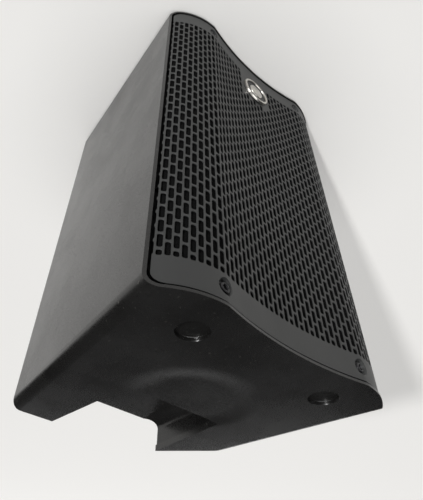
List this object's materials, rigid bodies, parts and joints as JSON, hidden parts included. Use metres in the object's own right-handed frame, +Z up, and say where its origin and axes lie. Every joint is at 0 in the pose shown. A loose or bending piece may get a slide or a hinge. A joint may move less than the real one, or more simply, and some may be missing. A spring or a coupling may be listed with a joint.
{
  "type": "powered loudspeaker",
  "caption": "Compact two-way powered loudspeaker: tapered moulded cabinet, waved slotted steel grille, rear handle notch, rear amplifier panel and pole socket.",
  "frame": {"origin": "on the ground under the middle of the cabinet's bounding box", "axes": "+Z up through the handle end, -Y the way the grille faces, +X the cabinet's left side as seen from behind the grille"},
  "size_m": [0.272, 0.264, 0.438],
  "materials": {
    "cabinet": "fine pebbled moulded plastic",
    "baffle": "satin moulded plastic",
    "grille": "smooth powder coat",
    "foam": "open cell foam",
    "badge": "satin plated",
    "screws": "black zinc",
    "rubber": "matt",
    "basket": "black paint",
    "cone": "treated paper",
    "coil": "enamelled copper wire",
    "spider": "resin treated cloth",
    "steel": "zinc plated",
    "magnet": "sintered ferrite",
    "horn": "moulded",
    "alloy": "as extruded",
    "panel": "fine texture powder coat",
    "board": "solder resist",
    "controls": "moulded",
    "knobs": "soft touch",
    "latches": "plated"
  },
  "bodies": {
    "cabinet": {"cabinet_shell": "cabinet", "front_baffle": "baffle", "grille": "grille", "grille_foam": "foam", "badge": "badge", "woofer_frame": "basket", "woofer_surround": "rubber", "spider": "spider", "woofer_top_plate": "steel", "woofer_magnet": "magnet", "woofer_yoke": "steel", "horn": "horn", "driver_plate": "alloy", "driver_magnet": "magnet", "driver_cover": "controls", "port_tube_1": "baffle", "port_tube_2": "baffle", "pole_cup": "baffle", "amp_panel": "panel", "heatsink": "alloy", "amp_board": "board", "transformer": "coil", "input_board": "board", "level_pot_1": "steel", "level_pot_2": "steel", "input_socket_1": "controls", "input_socket_2": "controls", "link_socket": "controls", "mains_inlet": "controls", "power_switch_body": "controls", "grille_screw_1": "screws", "grille_screw_2": "screws", "grille_screw_3": "screws", "grille_screw_4": "screws", "baffle_screw_1": "screws", "baffle_screw_2": "screws", "baffle_screw_3": "screws", "baffle_screw_4": "screws", "woofer_screw_1": "screws", "woofer_screw_2": "screws", "woofer_screw_3": "screws", "woofer_screw_4": "screws", "panel_screw_1": "screws", "panel_screw_2": "screws", "panel_screw_3": "screws", "panel_screw_4": "screws", "foot_1": "rubber", "foot_2": "rubber", "foot_3": "rubber", "foot_4": "rubber"},
    "woofer_motion": {"woofer_cone": "cone", "dust_cap": "cone", "voice_coil": "coil"},
    "level_control_1": {"level_knob_1": "knobs"},
    "level_control_2": {"level_knob_2": "knobs"},
    "power_rocker": {"power_rocker": "controls"},
    "mode_button": {"mode_button": "knobs"},
    "input_latch_1": {"input_latch_1": "latches"},
    "input_latch_2": {"input_latch_2": "latches"}
  },
  "joints": [
    {"name": "cone_stroke", "type": "slide", "parent": "cabinet", "child": "woofer_motion", "axis": [0, -1, 0], "range_m": [-0.005, 0.005], "stiffness_N_per_m": 1500},
    {"name": "level_turn_1", "type": "hinge", "parent": "cabinet", "child": "level_control_1", "pos_m": [-0.002, 0.125, 0.294], "axis": [0, 1, 0], "range_deg": [-150, 150]},
    {"name": "level_turn_2", "type": "hinge", "parent": "cabinet", "child": "level_control_2", "pos_m": [0.05, 0.125, 0.294], "axis": [0, 1, 0], "range_deg": [-150, 150]},
    {"name": "power_rock", "type": "hinge", "parent": "cabinet", "child": "power_rocker", "pos_m": [0.058, 0.1187, 0.092], "axis": [-1, 0, 0], "range_deg": [0, 18]},
    {"name": "mode_press", "type": "slide", "parent": "cabinet", "child": "mode_button", "axis": [0, -1, 0], "range_m": [0, 0.0015], "stiffness_N_per_m": 400},
    {"name": "latch_press_1", "type": "slide", "parent": "cabinet", "child": "input_latch_1", "axis": [0, -1, 0], "range_m": [0, 0.0012], "stiffness_N_per_m": 400},
    {"name": "latch_press_2", "type": "slide", "parent": "cabinet", "child": "input_latch_2", "axis": [0, -1, 0], "range_m": [0, 0.0012], "stiffness_N_per_m": 400}
  ]
}
